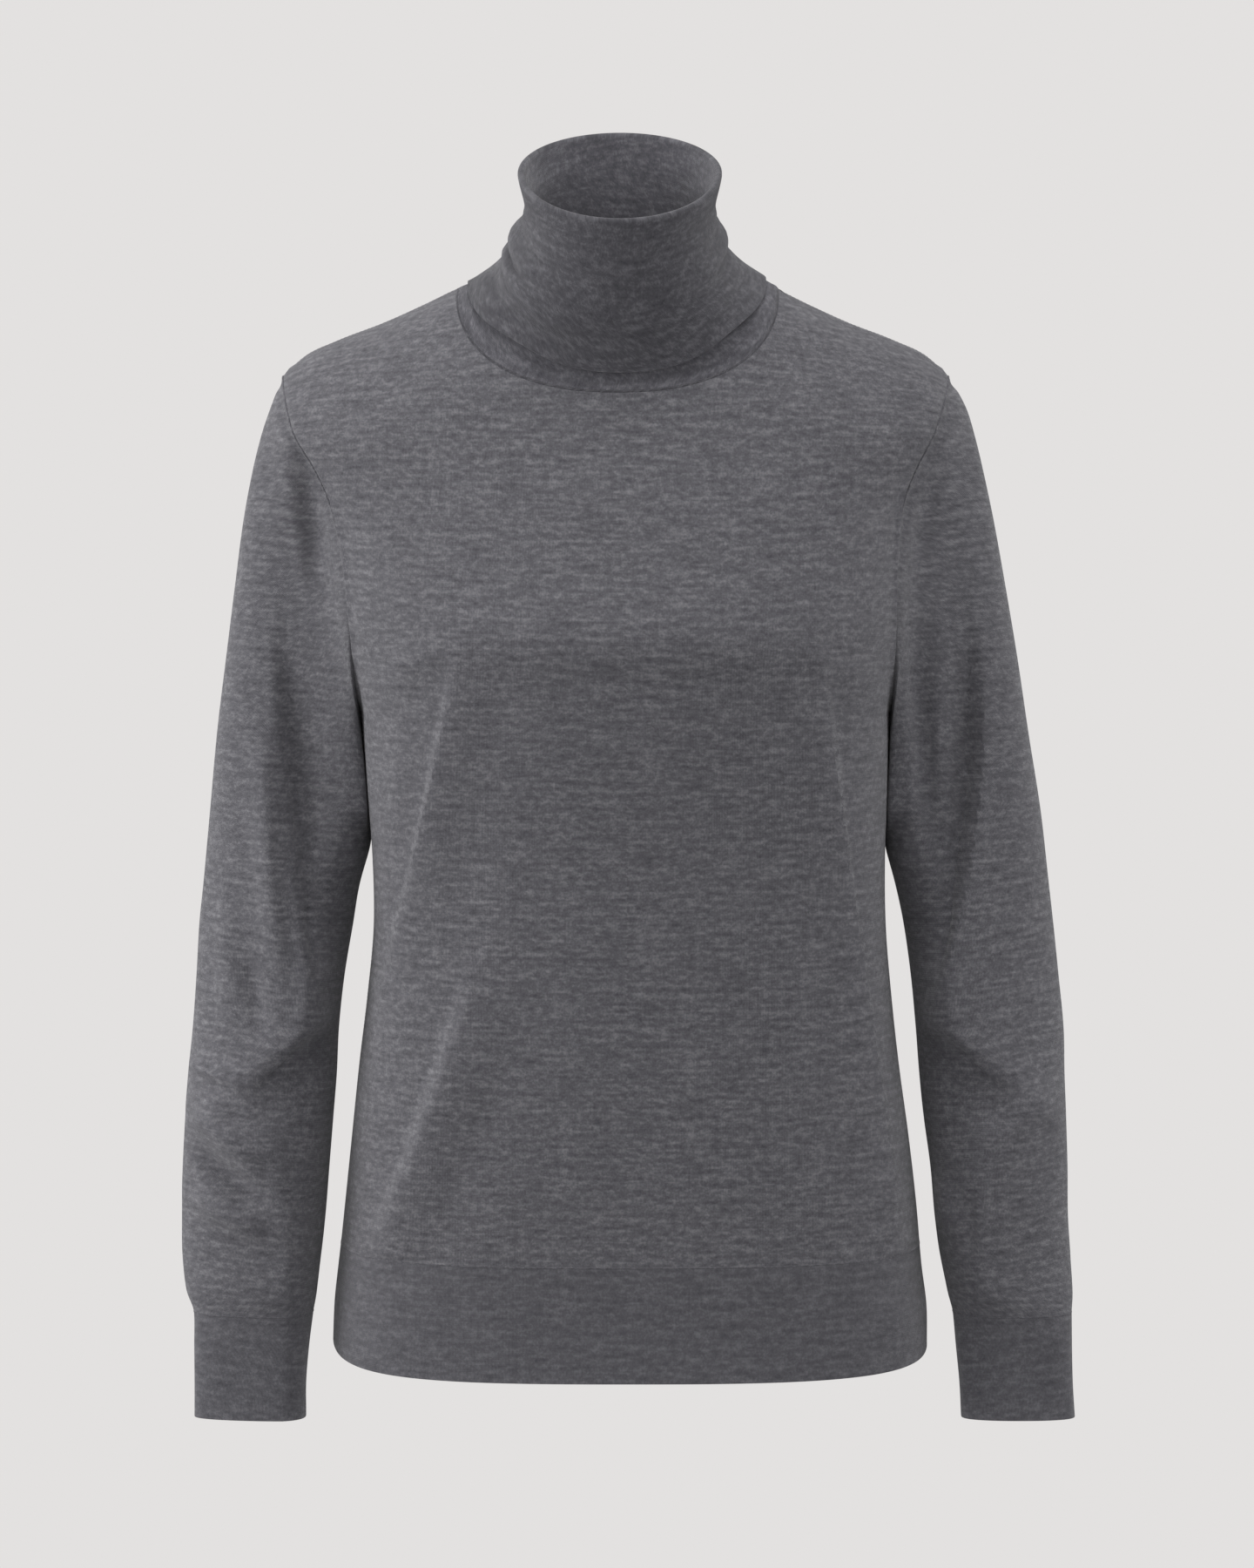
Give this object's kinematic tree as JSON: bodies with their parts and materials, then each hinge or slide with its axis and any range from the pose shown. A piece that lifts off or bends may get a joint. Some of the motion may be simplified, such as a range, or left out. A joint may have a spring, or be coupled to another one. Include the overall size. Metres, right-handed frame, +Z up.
{
  "type": "turtleneck sweater",
  "caption": "Grey turtleneck sweater in fine knit, worn shape: front, back, set-in sleeves, plain hem and cuff bands, and a tall turned-over collar.",
  "frame": {"origin": "centre of the garment where the wearer's neck and shoulders hold it up, level with the sides of the neck", "axes": "+Z up through the collar, -Y out of the front of the sweater, +X towards the wearer's left sleeve"},
  "size_m": [0.5234, 0.2157, 0.7512],
  "materials": {
    "fine_knit": "matt grey melange plain knit",
    "band_knit": "matt grey melange knit, a little denser and darker, on hem, cuffs and collar"
  },
  "bodies": {
    "root": {"body_front": "fine_knit", "body_back": "fine_knit", "hem_front": "band_knit", "hem_back": "band_knit", "sleeve_right": "fine_knit", "sleeve_left": "fine_knit", "cuff_right": "band_knit", "cuff_left": "band_knit", "collar": "band_knit"}
  },
  "joints": []
}
